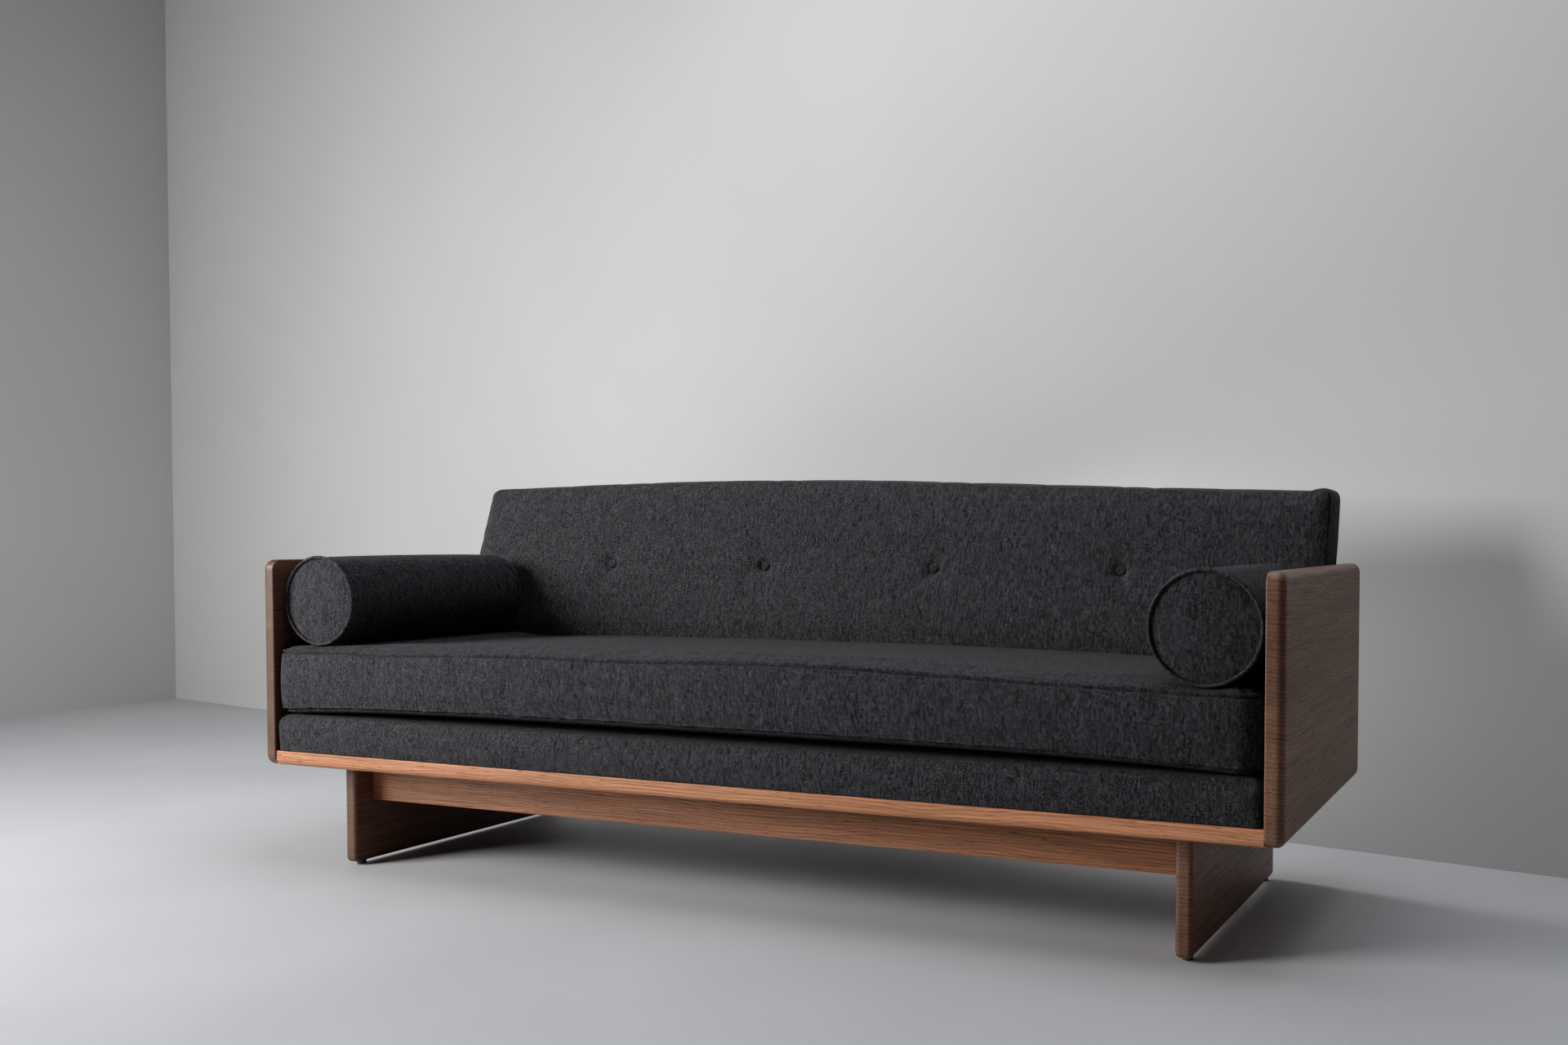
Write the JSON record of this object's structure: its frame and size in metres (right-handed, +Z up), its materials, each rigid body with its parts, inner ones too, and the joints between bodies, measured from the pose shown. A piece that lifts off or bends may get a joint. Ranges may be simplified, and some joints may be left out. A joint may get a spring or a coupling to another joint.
{
  "type": "daybed",
  "caption": "Upholstered daybed with slab timber side panels and legs, a seat mattress over a lower pad, a buttoned lift-off back and loose round bolsters.",
  "frame": {"origin": "on the floor, under the middle of the daybed's bounding box", "axes": "+X runs along the seat, to the right of a person facing the front; +Y runs from the front to the back; +Z is up"},
  "size_m": [2.06, 0.744, 0.786],
  "materials": {
    "walnut": "satin",
    "beech": "matte",
    "dowel_beech": "matte",
    "birch_plywood": "matte",
    "foam": "matte",
    "charcoal_wool": "matte",
    "zip": "matte",
    "glide_plastic": "matte",
    "twine": "matte",
    "black_steel": "satin",
    "insert_brass": "satin",
    "zinc_steel": "satin"
  },
  "bodies": {
    "frame": {"back_rail": "walnut", "back_rail_dowels": "dowel_beech", "bearer_dowels": "dowel_beech", "centre_bearer": "beech", "centre_screws": "zinc_steel", "cleat_bolts": "zinc_steel", "cleat_inserts": "insert_brass", "front_left_glide": "glide_plastic", "front_rail": "walnut", "front_right_glide": "glide_plastic", "front_stretcher": "walnut", "glide_screws": "zinc_steel", "left_bearer": "beech", "left_end_cleat": "beech", "left_leg": "walnut", "left_leg_bearer": "beech", "left_side_panel": "walnut", "leg_bolts": "zinc_steel", "leg_inserts": "insert_brass", "pad_board": "birch_plywood", "pad_cover": "charcoal_wool", "pad_foam": "foam", "pad_screws": "zinc_steel", "rail_dowels": "dowel_beech", "rear_left_glide": "glide_plastic", "rear_rail": "walnut", "rear_right_glide": "glide_plastic", "rear_stretcher": "walnut", "right_bearer": "beech", "right_end_cleat": "beech", "right_leg": "walnut", "right_leg_bearer": "beech", "right_side_panel": "walnut", "stretcher_dowels": "dowel_beech"},
    "seat": {"seat_core": "foam", "seat_cover": "charcoal_wool", "seat_zip": "zip"},
    "left_bolster": {"left_bolster_core": "foam", "left_bolster_cover": "charcoal_wool", "left_bolster_zip": "zip"},
    "right_bolster": {"right_bolster_core": "foam", "right_bolster_cover": "charcoal_wool", "right_bolster_zip": "zip"},
    "back": {"back_button_1": "charcoal_wool", "back_button_2": "charcoal_wool", "back_button_3": "charcoal_wool", "back_button_4": "charcoal_wool", "back_board": "birch_plywood", "back_foam": "foam", "back_cover": "charcoal_wool", "button_twine": "twine", "button_toggles": "zinc_steel", "left_back_hook": "black_steel", "right_back_hook": "black_steel", "hook_screws": "zinc_steel"}
  },
  "joints": [
    {"name": "seat_slide", "type": "slide", "parent": "frame", "child": "seat", "axis": [0, -1, 0], "range_m": [0, 0.25]},
    {"name": "left_bolster_lift", "type": "slide", "parent": "seat", "child": "left_bolster", "axis": [0, 0, 1], "range_m": [0, 0.19]},
    {"name": "right_bolster_lift", "type": "slide", "parent": "seat", "child": "right_bolster", "axis": [0, 0, 1], "range_m": [0, 0.19]},
    {"name": "back_lift", "type": "slide", "parent": "frame", "child": "back", "axis": [0, 0.3303, 0.9439], "range_m": [0, 0.2]}
  ]
}
